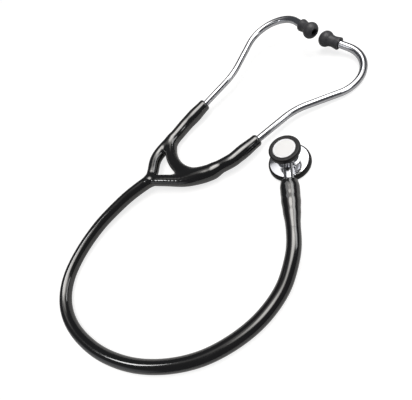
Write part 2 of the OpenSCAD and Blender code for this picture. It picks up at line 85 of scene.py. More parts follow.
class Side(Enum):
    """The two sides of the headset, as the wearer has them."""

    LEFT = "left"
    RIGHT = "right"


class Body(Enum):
    """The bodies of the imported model."""

    TUBING = "tubing"
    HEAD = "head"
    LEFT_ARM = "left_arm"
    RIGHT_ARM = "right_arm"
    LEFT_EAR = "left_ear"
    RIGHT_EAR = "right_ear"


# ---------------------------------------------------------------- numbers


def unit(v: np.ndarray) -> np.ndarray:
    """Vectors v scaled to length 1 along the last axis."""
    v = np.asarray(v, float)
    return v / np.linalg.norm(v, axis=-1, keepdims=True)


def ease(t: np.ndarray) -> np.ndarray:
    """Smooth rise from 0 to 1: half a cosine wave."""
    return (1 - np.cos(np.pi * np.clip(t, 0, 1))) / 2


def between(a: float, b: float, share: np.ndarray) -> np.ndarray:
    """Values that go from a to b as the share goes from 0 to 1."""
    return a + (b - a) * share


def run_of(points: np.ndarray) -> np.ndarray:
    """Length of a line of points up to each of them."""
    return np.concatenate([[0], np.cumsum(np.linalg.norm(np.diff(points, axis=0), axis=1))])


def turned(angles: Point) -> np.ndarray:
    """Rotation matrix that turns about X, then Y, then Z.

    Args:
        angles: the three turns in degrees.

    Returns:
        A 3 by 3 matrix.
    """
    (ca, cb, cc), (sa, sb, sc) = np.cos(np.radians(angles)), np.sin(np.radians(angles))
    about_x = np.array([[1, 0, 0], [0, ca, -sa], [0, sa, ca]])
    about_y = np.array([[cb, 0, sb], [0, 1, 0], [-sb, 0, cb]])
    about_z = np.array([[cc, -sc, 0], [sc, cc, 0], [0, 0, 1]])
    return about_z @ about_y @ about_x


def arc(centre: Pair, radius: float, start: float, stop: float, steps: int = 6) -> np.ndarray:
    """Points on a circle: centre plus radius times the cosine and sine of an even run of angles.

    Args:
        centre: place along the axis and distance from it.
        radius: radius of the circle.
        start: first angle in degrees, 0 along the axis and 90 away from it.
        stop: last angle in degrees.
        steps: number of steps between them.

    Returns:
        An array of steps + 1 points (along, out).
    """
    a = np.radians(np.linspace(start, stop, steps + 1))
    return np.stack([centre[0] + radius * np.cos(a), centre[1] + radius * np.sin(a)], 1)


def spline(points: np.ndarray, first: np.ndarray, final: np.ndarray, step: float) -> np.ndarray:
    """Cubic curve through points whose second derivative is continuous, with set end directions.

    The tangents at the points solve one linear system, and each stretch is the Hermite cubic of
    its two ends.

    Args:
        points: the points in order.
        first: direction at the first point.
        final: direction at the last point.
        step: distance between the samples.

    Returns:
        Samples along the curve, about step apart.
    """
    p = np.asarray(points, float)
    s, n = run_of(p), len(p)
    h = np.diff(s)
    system, right = np.eye(n), np.zeros_like(p)
    right[0], right[-1] = unit(first), unit(final)
    slope = np.diff(p, axis=0) / h[:, None]
    for i in range(1, n - 1):
        system[i, i - 1 : i + 2] = h[i], 2 * (h[i - 1] + h[i]), h[i - 1]
        right[i] = 3 * (h[i] * slope[i - 1] + h[i - 1] * slope[i])
    m = np.linalg.solve(system, right)
    at = np.linspace(0, s[-1], int(round(s[-1] / step)) + 1)
    i = np.clip(np.searchsorted(s, at, side="right") - 1, 0, n - 2)
    t = ((at - s[i]) / h[i])[:, None]
    g = h[i][:, None]
    return (
        (2 * t**3 - 3 * t**2 + 1) * p[i]
        + (t**3 - 2 * t**2 + t) * g * m[i]
        + (3 * t**2 - 2 * t**3) * p[i + 1]
        + (t**3 - t**2) * g * m[i + 1]
    )


@dataclass
class Route:
    """A centre line that round sections are carried along."""

    points: np.ndarray
    run: np.ndarray = field(init=False)
    along: np.ndarray = field(init=False)

    def __post_init__(self) -> None:
        """Works out the length up to each point and the direction there."""
        self.points = np.asarray(self.points, float)
        self.run = run_of(self.points)
        self.along = unit(np.gradient(self.points, self.run, axis=0))

    @property
    def length(self) -> float:
        """Length of the whole line."""
        return float(self.run[-1])

    def at(self, s: np.ndarray) -> tuple[np.ndarray, np.ndarray, np.ndarray]:
        """Centres and section axes at distances s along the line.

        Each value is read off the samples by straight-line interpolation; the side axis is level,
        at right angles to the line, and the up axis completes the frame.

        Args:
            s: distances along the line.

        Returns:
            Centres, side axes and up axes.
        """
        centre, along = (
            np.stack([np.interp(s, self.run, axis) for axis in values.T], 1)
            for values in (self.points, self.along)
        )
        along = unit(along)
        side = unit(np.cross([0.0, 0.0, 1.0], along) + SPARE_SIDE)
        return centre, side, np.cross(along, side)


def straight(start: np.ndarray, way: np.ndarray, length: float) -> Route:
    """A straight route from start along way."""
    return Route(np.asarray(start) + np.linspace(0, length, 3)[:, None] * unit(way))


# ---------------------------------------------------------------- meshes


def new_object(name: str, points: np.ndarray, faces: np.ndarray) -> Piece:
    """Makes a mesh object at the origin from points in millimetres.

    Args:
        name: name of the piece.
        points: the vertices, n by 3.
        faces: vertex numbers of each face.

    Returns:
        The object, linked to the scene.
    """
    mesh = bpy.data.meshes.new(name)
    mesh.from_pydata((np.asarray(points) * MM).tolist(), [], np.asarray(faces).tolist())
    piece = bpy.data.objects.new(name, mesh)
    bpy.context.scene.collection.objects.link(piece)
    return piece


def close_up(piece: Piece) -> None:
    """Merges the points of seams and poles, and turns the faces outwards by the signed volume.

    Args:
        piece: the piece to close.
    """
    work = bmesh.new()
    work.from_mesh(piece.data)
    bmesh.ops.remove_doubles(work, verts=work.verts, dist=MERGE)
    bmesh.ops.dissolve_degenerate(work, edges=work.edges, dist=SLIVER)
    if work.calc_volume(signed=True) < 0:
        bmesh.ops.reverse_faces(work, faces=work.faces)
    work.to_mesh(piece.data)
    work.free()


def round_piece(
    name: str, route: Route, profile: np.ndarray, sides: int = 96, sharp: float = 40
) -> Piece:
    """Carries a round section along a route.

    The surface is a grid: row i is a circle of radius profile[i, 1] in the plane square to the
    route at distance profile[i, 0], and column k is the angle 360 k / sides. The profile may run
    back inside itself, which makes a bore, and starts and ends at radius 0, which closes it.

    Args:
        name: name of the piece.
        route: the centre line.
        profile: rows of (distance along the route, radius).
        sides: points round each circle.
        sharp: angle in degrees above which an edge stays crisp.

    Returns:
        The closed piece, with its faces outwards.
    """
    centre, side, up = route.at(profile[:, 0])
    a = 2 * np.pi * np.arange(sides) / sides
    ring = np.cos(a)[None, :, None] * side[:, None] + np.sin(a)[None, :, None] * up[:, None]
    points = centre[:, None] + profile[:, 1][:, None, None] * ring
    rows, k = np.meshgrid(np.arange(len(profile) - 1), np.arange(sides), indexing="ij")
    a0, b0 = rows * sides + k, rows * sides + (k + 1) % sides
    faces = np.stack([a0, b0, b0 + sides, a0 + sides], -1).reshape(-1, 4)
    piece = new_object(name, points.reshape(-1, 3), faces)
    close_up(piece)
    piece.data.shade_smooth()
    piece.data.set_sharp_from_angle(angle=math.radians(sharp))
    return piece


@dataclass
class Tube:
    """A round tube as a solid: samples of its centre line and the radius at each."""

    points: np.ndarray
    radii: np.ndarray
    batch: int = 40000

    def distance(self, at: np.ndarray) -> np.ndarray:
        """Signed distance to the tube: the least, over the samples, of distance less radius.

        Args:
            at: points, n by 3.

        Returns:
            One number per point, negative inside.
        """
        out = np.empty(len(at), np.float32)
        c, r = self.points.astype(np.float32), self.radii.astype(np.float32)
        square = (c * c).sum(1)
        for i in range(0, len(at), self.batch):
            p = at[i : i + self.batch].astype(np.float32)
            d = np.sqrt(np.maximum((p * p).sum(1)[:, None] + square - 2 * p @ c.T, 0))
            out[i : i + self.batch] = (d - r).min(1)
        return out


def soft_union(a: np.ndarray, b: np.ndarray, fillet: float | np.ndarray) -> np.ndarray:
    """Union of two distances with a fillet: the lesser one, lowered where they nearly agree."""
    h = np.clip(0.5 + 0.5 * (b - a) / fillet, 0, 1)
    return b * (1 - h) + a * h - fillet * h * (1 - h)


def slope_of(field_at: Field, points: np.ndarray, step: float = 0.1) -> np.ndarray:
    """Unit slope of a field, from differences over a step to each side.

    Args:
        field_at: function from points to signed distances.
        points: where the slope is wanted.
        step: the step.

    Returns:
        One unit vector per point.
    """
    ways = step * np.eye(3)
    rise = np.stack([field_at(points + d) - field_at(points - d) for d in ways], 1)
    return unit(rise + SPARE_SLOPE)


def skin(
    field_at: Field, low: np.ndarray, high: np.ndarray, cell: float, slides: int = 3
) -> tuple[np.ndarray, np.ndarray]:
    """Surface where a field is zero.

    The field is sampled on a lattice. Each cell with both signs gets one point, the mean of the
    crossings on its edges, and each lattice edge with both signs gets a face between the four
    cells round it. The points then slide along the field's slope on to the zero surface.

    Args:
        field_at: function from points to signed distances.
        low: lowest corner of the lattice.
        high: highest corner.
        cell: size of a cell.
        slides: how often the points slide.

    Returns:
        Points and four-sided faces that point outwards.
    """
    n = np.ceil((high - low) / cell).astype(int) + 1
    axes = [low[k] + cell * np.arange(n[k]) for k in range(3)]
    lattice = np.stack(np.meshgrid(*axes, indexing="ij"), -1)
    value = field_at(lattice.reshape(-1, 3)).reshape(n)
    inside = value < 0
    m = n - 1
    total, count = np.zeros((*m, 3)), np.zeros(m)

    def at_corner(v: np.ndarray, corner: tuple[int, ...]) -> np.ndarray:
        """Values of v at the same corner of every cell."""
        return v[tuple(slice(o, o + size) for o, size in zip(corner, m))]

    for a in np.ndindex(2, 2, 2):
        for axis in (k for k in range(3) if not a[k]):
            b = tuple(x + (axis == q) for q, x in enumerate(a))
            va, vb = at_corner(value, a), at_corner(value, b)
            cross = at_corner(inside, a) != at_corner(inside, b)
            share = np.where(cross, va / np.where(cross, va - vb, 1), 0)
            place = np.array(a, float) + share[..., None] * np.eye(3)[axis]
            total += cross[..., None] * place
            count += cross
    live = count > 0
    number = np.full(m, -1)
    number[live] = np.arange(live.sum())
    points = (np.argwhere(live) + total[live] / count[live][:, None]) * cell + low
    faces = []
    for axis in range(3):
        u, v = (axis + 1) % 3, (axis + 2) % 3
        a = [slice(1, -1)] * 3
        b = list(a)
        a[axis], b[axis] = slice(0, -1), slice(1, None)
        change = inside[tuple(a)] != inside[tuple(b)]
        spot = np.argwhere(change) + 1
        spot[:, axis] -= 1
        flip = inside[tuple(a)][change]
        quad = []
        for du, dv in ((-1, -1), (0, -1), (0, 0), (-1, 0)):
            q = spot.copy()
            q[:, u] += du
            q[:, v] += dv
            quad.append(number[q[:, 0], q[:, 1], q[:, 2]])
        quad = np.stack(quad, 1)
        faces.append(np.where(flip[:, None], quad, quad[:, ::-1]))
    for _ in range(slides):
        points = points - field_at(points)[:, None] * slope_of(field_at, points)
    return points, np.concatenate(faces)


# ---------------------------------------------------------------- finishes

MIX_A, MIX_B, MIX_OUT = 6, 7, 2  # colour sockets of a Mix node, whose names aren't unique


def linear(colour: str) -> tuple[float, float, float, float]:
    """Turns an sRGB colour to a linear one.

    Args:
        colour: a hex value such as "#c0ffee".

    Returns:
        Red, green, blue and an alpha of 1.
    """
    c = np.array([int(colour[i : i + 2], 16) for i in (1, 3, 5)]) / 255
    c = np.where(c <= 0.04045, c / 12.92, ((c + 0.055) / 1.055) ** 2.4)
    return (*c.tolist(), 1.0)


def feed(node: Node, sockets: dict) -> None:
    """Sets a node's sockets or links other nodes' outputs to them.

    Args:
        node: the node.
        sockets: socket name or number to a value, or to an output, which is linked.
    """
    for key, value in sockets.items():
        if isinstance(value, Output):
            node.id_data.links.new(value, node.inputs[key])
        else:
            node.inputs[key].default_value = value


def add(tree: Tree, kind: str, sockets: dict | None = None, **settings: object) -> Node:
    """Adds a node to a tree.

    Args:
        tree: the node tree.
        kind: the node's type name.
        sockets: what feed puts into its sockets.
        settings: the node's own properties.

    Returns:
        The node.
    """
    node = tree.nodes.new(kind)
    for key, value in settings.items():
        setattr(node, key, value)
    feed(node, sockets or {})
    return node


def per_mm(size: float) -> float:
    """Pattern scale whose features are size millimetres, on Object coordinates in metres."""
    return 1 / (size * MM)


@dataclass(frozen=True)
class Grain:
    """A cloudy pattern: the size of its clouds in millimetres, its layers and their contrast."""

    size: float
    layers: float
    contrast: float = 0.5

    def on(self, place: Output) -> dict:
        """Sockets of a noise with this grain."""
        scale = per_mm(self.size)
        return {"Vector": place, "Scale": scale, "Detail": self.layers, "Roughness": self.contrast}


@dataclass(frozen=True)
class Finish:
    """What all finishes have in common: a name, a colour and the material made on first use."""

    name: str
    colour: str

    def material(self) -> bpy.types.Material:
        """Finds the material, or makes it on first use.

        Returns:
            The Blender material.
        """
        made = bpy.data.materials.get(self.name)
        if made is None:
            made = bpy.data.materials.new(self.name)
            made.use_nodes = True
            made.node_tree.nodes.clear()
            shader = add(made.node_tree, "ShaderNodeBsdfPrincipled")
            add(made.node_tree, "ShaderNodeOutputMaterial", {"Surface": shader.outputs[0]})
            self.paint(made.node_tree, shader)
        return made

    def paint(self, tree: Tree, shader: Node) -> None:
        """Sets the shader's sockets and adds the pattern nodes.

        Args:
            tree: the material's node tree.
            shader: its Principled shader.
        """
        raise NotImplementedError

    def dress(self, *pieces: Piece) -> None:
        """Puts the material on pieces.

        Args:
            pieces: the pieces.
        """
        for piece in pieces:
            piece.data.materials.clear()
            piece.data.materials.append(self.material())

    @staticmethod
    def dulled(shader: Node, level: Output, dull: Pair, seen: Pair = (0.0, 1.0)) -> None:
        """Makes the roughness follow a level.

        Args:
            shader: the material's shader.
            level: output that it follows.
            dull: roughness at the two ends.
            seen: the level at the two ends.
        """
        values = {"Value": level, "From Min": seen[0], "From Max": seen[1]}
        values |= {"To Min": dull[0], "To Max": dull[1]}
        rough = add(shader.id_data, "ShaderNodeMapRange", values)
        feed(shader, {"Roughness": rough.outputs["Result"]})

    @staticmethod
    def raised(shader: Node, level: Output, strength: float, depth: float) -> None:
        """Bumps the surface by a level.

        Args:
            shader: the material's shader.
            level: output that gives the height.
            strength: how much of the bump shows.
            depth: depth of the bump in millimetres.
        """
        values = {"Height": level, "Strength": strength, "Distance": depth * MM}
        bump = add(shader.id_data, "ShaderNodeBump", values)
        feed(shader, {"Normal": bump.outputs["Normal"]})


@dataclass(frozen=True)
class GlossyVinyl(Finish):
    """Moulded black PVC: a deep black with a wet gloss, softened by plasticiser bloom.

    The eye sees long soft highlights with a crisp core, from a slightly blurred skin under a
    thin sharp one, and a very shallow waviness left by the mould.
    """

    bloomed: str = "#0f0e0e"
    bloom: Pair = (0.14, 0.2)
    clouds: Grain = Grain(14.0, 4.0)
    waves: Grain = Grain(2.2, 2.0)

    def paint(self, tree: Tree, shader: Node) -> None:
        """Colour and roughness vary with cloudy bloom, and a fine wave bumps the surface."""
        place = add(tree, "ShaderNodeTexCoord").outputs["Object"]
        cloud = add(tree, "ShaderNodeTexNoise", self.clouds.on(place)).outputs["Fac"]
        wave = add(tree, "ShaderNodeTexNoise", self.waves.on(place)).outputs["Fac"]
        colours = {MIX_A: linear(self.colour), MIX_B: linear(self.bloomed)}
        tint = add(tree, "ShaderNodeMix", {0: cloud, **colours}, data_type="RGBA")
        self.dulled(shader, cloud, self.bloom, seen=(0.3, 0.7))
        self.raised(shader, wave, strength=0.05, depth=0.01)
        feed(shader, {"Base Color": tint.outputs[MIX_OUT], "IOR": 1.6})
        feed(shader, {"Coat Weight": 1.0, "Coat Roughness": 0.05, "Coat IOR": 1.8})


@dataclass(frozen=True)
class ChromePlate(Finish):
    """Bright chromium plate over polished brass: a mirror with faint polishing haze.

    The eye sees sharp reflections that run along the tube, with a few duller spots from handling.
    """

    haze: Pair = (0.11, 0.16)
    clouds: Grain = Grain(7.0, 5.0, 0.6)
    marks: Grain = Grain(1.6, 3.0)

    def paint(self, tree: Tree, shader: Node) -> None:
        """Handling haze changes the roughness, and polishing marks bump it by a hair."""
        place = add(tree, "ShaderNodeTexCoord").outputs["Object"]
        cloud = add(tree, "ShaderNodeTexNoise", self.clouds.on(place)).outputs["Fac"]
        marks = add(tree, "ShaderNodeTexNoise", self.marks.on(place)).outputs["Fac"]
        self.dulled(shader, cloud, self.haze, seen=(0.35, 0.75))
        self.raised(shader, marks, strength=0.12, depth=0.02)
        feed(shader, {"Base Color": linear(self.colour), "Metallic": 1.0})


@dataclass(frozen=True)
class SoftRubber(Finish):
    """Moulded silicone or rubber: even, matte to satin, with a fine spark-eroded grain."""

    dull: Pair = (0.45, 0.58)
    clouds: Grain = Grain(4.0, 4.0)
    grain: Grain = Grain(0.5, 2.0)
    depth: float = 0.04

    def paint(self, tree: Tree, shader: Node) -> None:
        """The grain, drawn coarser than the real 0.1 mm so that it shows, bumps the skin."""
        place = add(tree, "ShaderNodeTexCoord").outputs["Object"]
        cloud = add(tree, "ShaderNodeTexNoise", self.clouds.on(place)).outputs["Fac"]
        grain = add(tree, "ShaderNodeTexNoise", self.grain.on(place)).outputs["Fac"]
        self.dulled(shader, cloud, self.dull, seen=(0.3, 0.7))
        self.raised(shader, grain, strength=0.35, depth=self.depth)
        feed(shader, {"Base Color": linear(self.colour), "IOR": 1.43})


@dataclass(frozen=True)
class PrintedFilm(Finish):
    """White printed polyester film: satin, with a plain grey-white field inside a white border."""

    middle: str = "#f0f0f0"
    field_r: float = 7.2
    blur: float = 0.15
    ink: Grain = Grain(0.8, 3.0)

    def paint(self, tree: Tree, shader: Node) -> None:
        """The field is a disc about the head's axis; a fine noise keeps the ink from being flat."""
        place = add(tree, "ShaderNodeTexCoord").outputs["Object"]
        level = add(tree, "ShaderNodeVectorMath", {0: place, 1: (1, 1, 0)}, operation="MULTIPLY")
        out = add(tree, "ShaderNodeVectorMath", {0: level.outputs[0]}, operation="LENGTH")
        first, final = (self.field_r - self.blur) * MM, (self.field_r + self.blur) * MM
        values = {"Value": out.outputs["Value"], "From Min": first, "From Max": final}
        edge = add(tree, "ShaderNodeMapRange", values).outputs["Result"]
        colours = {MIX_A: linear(self.middle), MIX_B: linear(self.colour)}
        tint = add(tree, "ShaderNodeMix", {0: edge, **colours}, data_type="RGBA")
        ink = add(tree, "ShaderNodeTexNoise", self.ink.on(place)).outputs["Fac"]
        self.dulled(shader, ink, dull=(0.3, 0.45))
        feed(shader, {"Base Color": tint.outputs[MIX_OUT], "IOR": 1.5})


@dataclass(frozen=True)
class GlassFilm(Finish):
    """Epoxy sheet with woven glass: pale, hard and satin, with the weave just showing."""

    gap: str = "#bfc0b8"
    thread: float = 0.9
    bands: float = 3.18  # bands that the wave pattern draws in one unit at scale 1

    def paint(self, tree: Tree, shader: Node) -> None:
        """Crossed waves one thread apart tint and bump the sheet; real threads are half that."""
        place = add(tree, "ShaderNodeTexCoord").outputs["Object"]
        scale = per_mm(self.thread) / self.bands
        values = {"Vector": place, "Scale": scale, "Distortion": 0.6, "Detail": 1.0}
        along, across = (
            add(tree, "ShaderNodeTexWave", values, bands_direction=way).outputs["Fac"]
            for way in ("X", "Y")
        )
        weave = add(tree, "ShaderNodeMath", {0: along, 1: across}, operation="MULTIPLY").outputs[0]
        colours = {MIX_A: linear(self.gap), MIX_B: linear(self.colour)}
        tint = add(tree, "ShaderNodeMix", {0: weave, **colours}, data_type="RGBA")
        self.raised(shader, weave, strength=0.2, depth=0.03)
        feed(shader, {"Base Color": tint.outputs[MIX_OUT], "Roughness": 0.32})


@dataclass(frozen=True)
class SpringSteel(Finish):
    """Blued and wiped spring steel: a dull grey metal with fine marks along its length."""

    marks: Grain = Grain(0.6, 4.0)

    def paint(self, tree: Tree, shader: Node) -> None:
        """Fine noise stands for the rolling marks."""
        place = add(tree, "ShaderNodeTexCoord").outputs["Object"]
        marks = add(tree, "ShaderNodeTexNoise", self.marks.on(place)).outputs["Fac"]
        self.dulled(shader, marks, dull=(0.25, 0.45))
        feed(shader, {"Base Color": linear(self.colour), "Metallic": 1.0})


@dataclass(frozen=True)
class TableTop(Finish):
    """Matte white laminate, with a little of its own white so that it looks like bare paper."""

    seen: float = 0.79
    mirrored: float = 0.08

    def paint(self, tree: Tree, shader: Node) -> None:
        """Its own white is strong where the camera sees it and weak in a mirror."""
        path = add(tree, "ShaderNodeLightPath").outputs
        mirror, camera = path["Is Glossy Ray"], path["Is Camera Ray"]
        weak = add(tree, "ShaderNodeMath", {0: mirror, 1: self.mirrored}, operation="MULTIPLY")
        values = {0: camera, 1: self.seen, 2: weak.outputs[0]}
        glow = add(tree, "ShaderNodeMath", values, operation="MULTIPLY_ADD").outputs[0]
        feed(shader, {"Base Color": linear(self.colour), "Roughness": 0.5})
        feed(shader, {"Emission Color": linear("#ffffff"), "Emission Strength": glow})


VINYL = GlossyVinyl("moulded_black_pvc", "#070707")
CHROME = ChromePlate("bright_chrome_plate", "#dfe0e4")
TIP_RUBBER = SoftRubber("grey_silicone", "#444447", dull=(0.34, 0.46))
RIM_RUBBER = SoftRubber(
    "satin_black_rubber", "#161618", dull=(0.36, 0.46), grain=Grain(0.4, 2.0), depth=0.02
)
SEAL_RUBBER = SoftRubber("black_seal_rubber", "#101011")
WHITE_FILM = PrintedFilm("white_printed_film", "#f3f4f6")
GLASS_FILM = GlassFilm("epoxy_glass_sheet", "#d9d9d2")
STEEL = SpringSteel("wiped_spring_steel", "#8f9296")
TABLE = TableTop("white_table", "#9e9e9e")


def place_piece(piece: Piece, finish: Finish, slot: str, body: Body | None, *nodes: str) -> Piece:
    """Dresses a piece, ties it to its body when it has one and hides the solids it stands for.

    Args:
        piece: the finished piece.
        finish: its finish.
        slot: not used.
        body: the body it rides on, or None, which leaves it unattached.
        nodes: names of the solids that it replaces.

    Returns:
        The piece.
    """
    finish.dress(piece)
    if body is not None:
        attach(piece, body.value)
    if nodes:
        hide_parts(*nodes)
    LOG.info("%s: %d faces, %s", piece.name, len(piece.data.polygons), finish.name)
    return piece


# ---------------------------------------------------------------- tubing


@dataclass
class Hose:
    """The single hose, from the yoke round its loop to the cuff on the stem."""

    yoke_back: Point = (-104.5, 88.7, 10.4)
    yoke_way: Point = (0.97, -0.24, 0.04)
    loop: tuple[Point, ...] = (
        (-113, 90.6, 10.1), (-123, 92.4, 9.8), (-136, 94, 9.2), (-154, 94.2, 8.4),
        (-172, 93.1, 7.6), (-188, 89.7, 7), (-203, 84.7, 6.4), (-216.8, 77.7, 6),
        (-227.8, 69.5, 5.7), (-235.7, 59.6, 5.5), (-240.8, 46.8, 5.4), (-241.6, 29.8, 5.4),
        (-238.2, 14.2, 5.4), (-231.5, -1.8, 5.4), (-222.1, -17.9, 5.4), (-210.1, -33, 5.4),
        (-195.7, -47, 5.4), (-178.2, -59.7, 5.4), (-160.2, -69.4, 5.4), (-142.2, -76.1, 5.4),
        (-124.1, -79.8, 5.4), (-107.1, -81.1, 5.4), (-94.1, -80.4, 5.4), (-81.4, -78, 5.5),
        (-68.8, -73.9, 6.7), (-57.7, -67.9, 8.8), (-47.2, -60.3, 10.9),
    )
    # distances from the yoke, and the radius at each
    girth: tuple[Pair, ...] = ((0, 6.3), (60, 6.1), (125, 5.8), (190, 5.25), (440, 5.25))
    hose_r: float = 5.35
    stem_yaw: float = 232.7
    stem_z: float = 11.8
    cuff_start: float = 23.0
    cuff_end: float = 63.0
    step: float = 1.5
    sides: int = 64

    @property
    def stem_way(self) -> np.ndarray:
        """Direction from the head's axis along the stem."""
        yaw = math.radians(self.stem_yaw)
        return np.array([math.cos(yaw), math.sin(yaw), 0])

    def on_stem(self, s: float) -> np.ndarray:
        """Point of the stem's axis at distance s from the head's axis."""
        return s * self.stem_way + (0, 0, self.stem_z)

    def route(self) -> Route:
        """Centre line: one smooth cubic through the points of the loop."""
        points = np.array([self.yoke_back, *self.loop, self.on_stem(self.cuff_end)])
        return Route(spline(points, -np.array(self.yoke_way), -self.stem_way, self.step))

    def radius(self, s: np.ndarray) -> np.ndarray:
        """Radius at distance s from the yoke, read off the girths by straight lines."""
        return np.interp(s, *np.transpose(self.girth))

    def build(self) -> Piece:
        """Returns:
            The hose, closed at both ends inside the yoke and the cuff.
        """
        route = self.route()
        s = np.concatenate([[0], route.run, [route.length]])
        r = np.concatenate([[0], self.radius(route.run), [0]])
        piece = round_piece("hose_tube", route, np.stack([s, r], 1), self.sides)
        place_piece(piece, VINYL, "black_vinyl", Body.TUBING, "hose")
        LOG.info("hose length %.0f mm", route.length)
        return piece


@dataclass
class Cuff:
    """The swollen end of the hose that grips the stem."""

    hose: Hose
    full_r: float = 7.35
    lip_r: float = 1.4
    lip_in: float = 0.7
    bore_r: float = 3.97
    bore_depth: float = 6.0
    waves: tuple[Pair, ...] = (
        (4.2, 7.2), (8.5, 7.3), (11.5, 7.24), (14.2, 7.1), (17.4, 7.18), (20.6, 6.9),
        (24, 6.52), (27, 6.4), (30, 6.03), (33, 5.62), (36.8, 5.36), (39.9, 5.23),
    )
    slopes: Pair = (0.1, -0.02)  # how fast it widens at the lip and thins at the hose
    step: float = 0.4

    def build(self) -> Piece:
        """Carries the cuff's profile along the stem: a rounded lip, then a grip that thins.

        The grip is a cubic through the points of the waves, each of them a distance from the front
        edge and a radius.

        Returns:
            The cuff.
        """
        length = self.hose.cuff_end - self.hose.cuff_start
        route = straight(self.hose.on_stem(self.hose.cuff_start), self.hose.stem_way, length)
        lip_out = self.full_r - self.lip_r - self.lip_in
        lip = arc((self.lip_r, lip_out), self.lip_r, 180, 90, steps=12)
        points = np.array([(*p, 0) for p in (lip[-1], *self.waves)])
        first, final = (np.array([1, slope, 0]) for slope in self.slopes)
        grip = spline(points, first, final, self.step)[1:, :2]
        bore = [(self.bore_depth, 0), (self.bore_depth, self.bore_r), (0, self.bore_r)]
        profile = np.concatenate([bore, lip, grip, [(length, 0)]])
        piece = round_piece("hose_cuff_grip", route, profile)
        return place_piece(piece, VINYL, "black_vinyl", Body.TUBING, "hose_cuff")


@dataclass
class Limb:
    """One limb of the moulding, from the junction to the back of its socket.

    The limb is cut off the moulding at bend_from, square to the line towards bend_to, and girth
    says how thick its end and its socket look against the solids.
    """

    side: Side
    via: tuple[Point, ...]
    mouth: Point
    turn: Point
    bend_from: Point
    bend_to: Point
    girth: float
    socket_len: float = 26.0
    neck_r: float = 5.7
    limb_r: float = 6.7
    pinch: float = 0.7  # how much thinner it is at the junction
    pinch_run: float = 9.0
    overlap: float = 4.0  # how far it runs on into the socket
    step: float = 0.5

    @property
    def out(self) -> np.ndarray:
        """Direction out of the socket's mouth."""
        return turned(self.turn) @ np.array([1.0, 0, 0])

    @property
    def back(self) -> np.ndarray:
        """Centre of the socket's back end."""
        return np.array(self.mouth) - self.socket_len * self.out

    @property
    def arm(self) -> Body:
        """Body that the socket rides on."""
        return Body(f"{self.side.value}_arm")

    @property
    def ear(self) -> Body:
        """Body that the ear tube rides on."""
        return Body(f"{self.side.value}_ear")

    def tube(self, root: np.ndarray) -> Tube:
        """The limb as a solid tube, pinched at the junction, that runs on into its socket.

        Args:
            root: where the limb leaves the junction.

        Returns:
            The tube.
        """
        way = np.array(self.via[0]) - root
        points = spline(np.array([root, *self.via, self.back]), way, self.out, self.step)
        run = run_of(points)
        end_r = self.girth * self.limb_r
        radii = between(self.neck_r, end_r, ease(run / run[-1]))
        radii = radii - self.pinch * (1 - ease(run / self.pinch_run))
        more = self.back + np.arange(self.step, self.overlap, self.step)[:, None] * self.out
        radii = np.concatenate([radii, np.full(len(more), end_r)])
        return Tube(np.concatenate([points, more]), radii)


